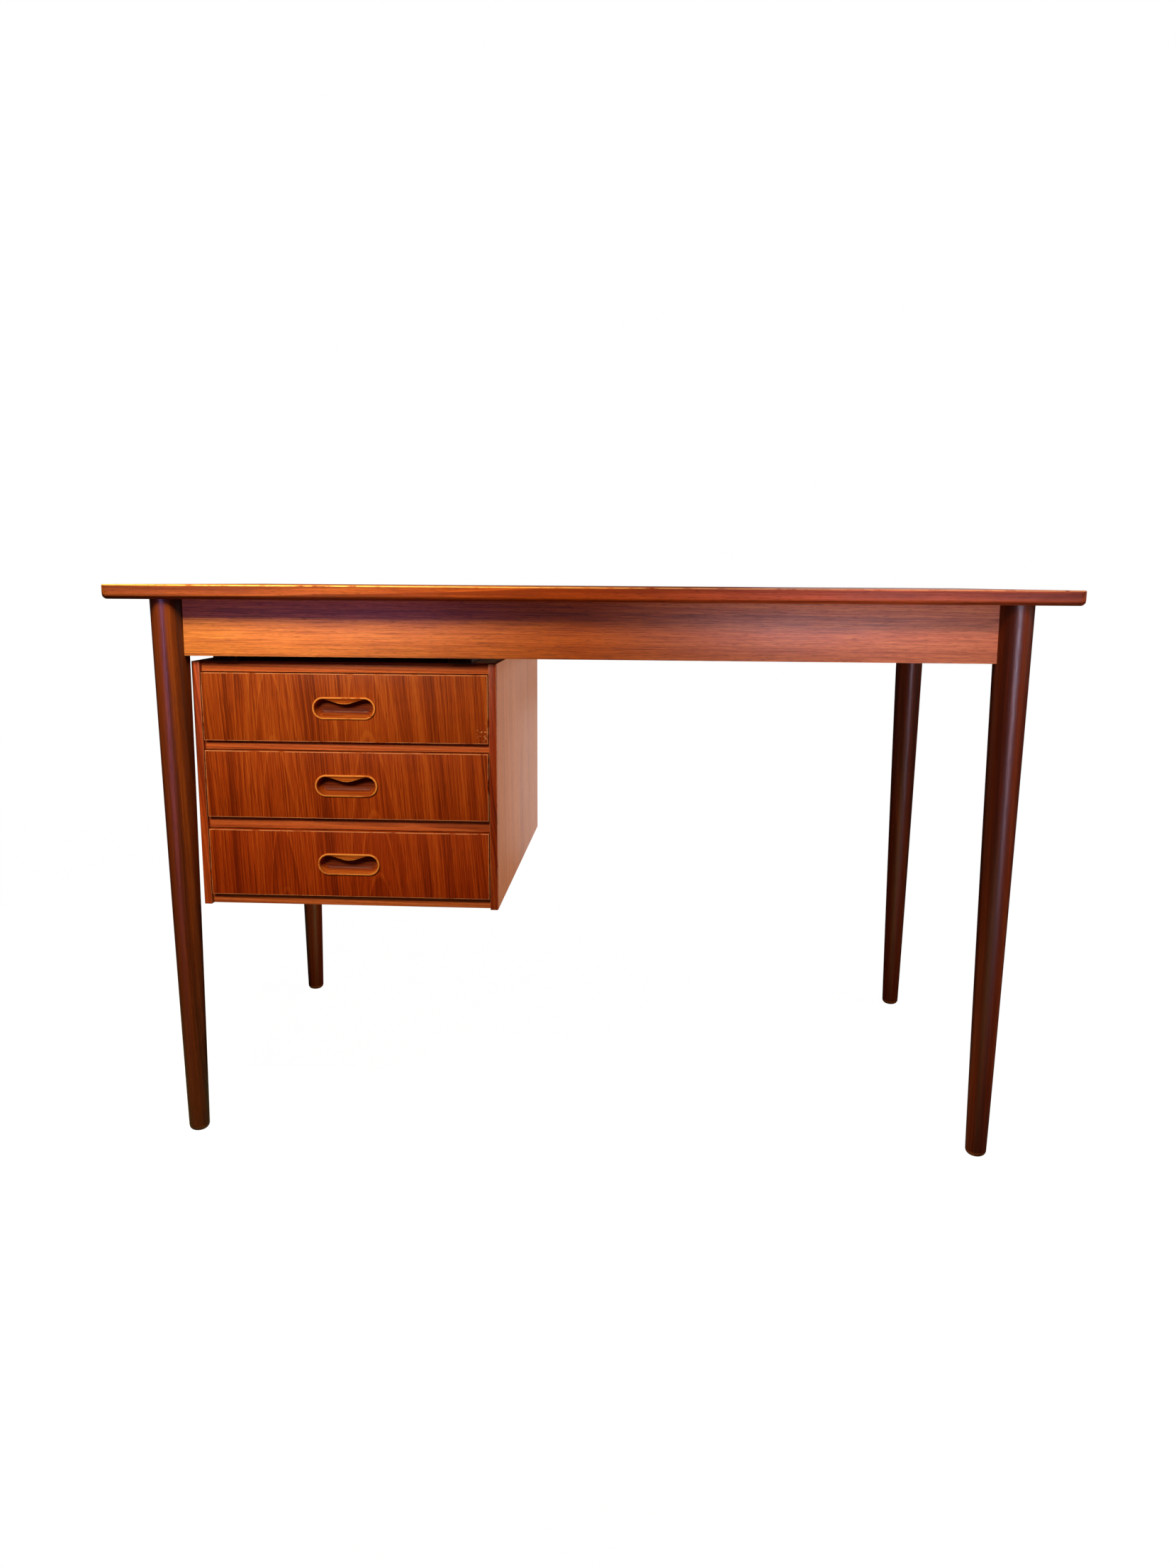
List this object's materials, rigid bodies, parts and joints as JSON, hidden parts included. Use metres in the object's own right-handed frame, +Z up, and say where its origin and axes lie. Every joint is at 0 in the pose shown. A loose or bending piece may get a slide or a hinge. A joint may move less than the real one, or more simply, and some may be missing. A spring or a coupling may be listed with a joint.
{
  "type": "writing desk with drawers",
  "caption": "Long writing desk on four round tapered wooden legs, with a deep apron and a hung cabinet of drawers with let-in pulls under its left end.",
  "frame": {"origin": "on the floor, under the middle of the top", "axes": "+X along the top to the right as the sitter sees it, +Y away from the sitter to the back, +Z up"},
  "size_m": [1.19, 0.592, 0.73],
  "materials": {
    "teak_veneer": "oiled satin, open grain",
    "teak_solid": "oiled satin, open grain",
    "teak_front": "oiled satin, vertical matched grain",
    "teak_leg": "oiled semi-gloss, darker than the rest",
    "teak_pull": "oiled satin",
    "oak": "waxed, matt",
    "beech": "plain, matt",
    "plywood": "plain, matt",
    "screw_steel": "plain bright zinc"
  },
  "bodies": {
    "root": {"top_panel": "teak_veneer", "top_edging_front": "teak_solid", "top_edging_back": "teak_solid", "top_edging_left": "teak_solid", "top_edging_right": "teak_solid", "leg_front_left": "teak_leg", "leg_front_right": "teak_leg", "leg_back_left": "teak_leg", "leg_back_right": "teak_leg", "apron_front": "teak_veneer", "apron_back": "teak_veneer", "apron_left": "teak_veneer", "apron_right": "teak_veneer", "corner_block_front_left": "beech", "corner_block_front_right": "beech", "corner_block_back_left": "beech", "corner_block_back_right": "beech", "apron_dowels": "beech", "top_buttons": "beech", "button_screws": "screw_steel", "bearer_left": "beech", "bearer_right": "beech", "bearer_dowels": "beech", "cabinet_screws": "screw_steel", "cabinet_side_left": "teak_veneer", "cabinet_side_right": "teak_veneer", "cabinet_lipping_left": "teak_solid", "cabinet_lipping_right": "teak_solid", "cabinet_top": "plywood", "cabinet_bottom": "plywood", "cabinet_back": "plywood", "top_rail": "teak_solid", "upper_divider_rail": "teak_solid", "lower_divider_rail": "teak_solid", "bottom_rail": "teak_solid", "upper_runner_left": "beech", "upper_runner_right": "beech", "lower_runner_left": "beech", "lower_runner_right": "beech", "drawer_stops": "beech"},
    "top_drawer": {"top_drawer_front": "teak_front", "top_drawer_pull": "teak_pull", "top_drawer_side_left": "oak", "top_drawer_side_right": "oak", "top_drawer_back": "oak", "top_drawer_bottom": "plywood"},
    "middle_drawer": {"middle_drawer_front": "teak_front", "middle_drawer_pull": "teak_pull", "middle_drawer_side_left": "oak", "middle_drawer_side_right": "oak", "middle_drawer_back": "oak", "middle_drawer_bottom": "plywood"},
    "bottom_drawer": {"bottom_drawer_front": "teak_front", "bottom_drawer_pull": "teak_pull", "bottom_drawer_side_left": "oak", "bottom_drawer_side_right": "oak", "bottom_drawer_back": "oak", "bottom_drawer_bottom": "plywood"}
  },
  "joints": [
    {"name": "top_drawer_slide", "type": "slide", "parent": "root", "child": "top_drawer", "axis": [0, -1, 0], "range_m": [0, 0.34]},
    {"name": "middle_drawer_slide", "type": "slide", "parent": "root", "child": "middle_drawer", "axis": [0, -1, 0], "range_m": [0, 0.34]},
    {"name": "bottom_drawer_slide", "type": "slide", "parent": "root", "child": "bottom_drawer", "axis": [0, -1, 0], "range_m": [0, 0.34]}
  ]
}
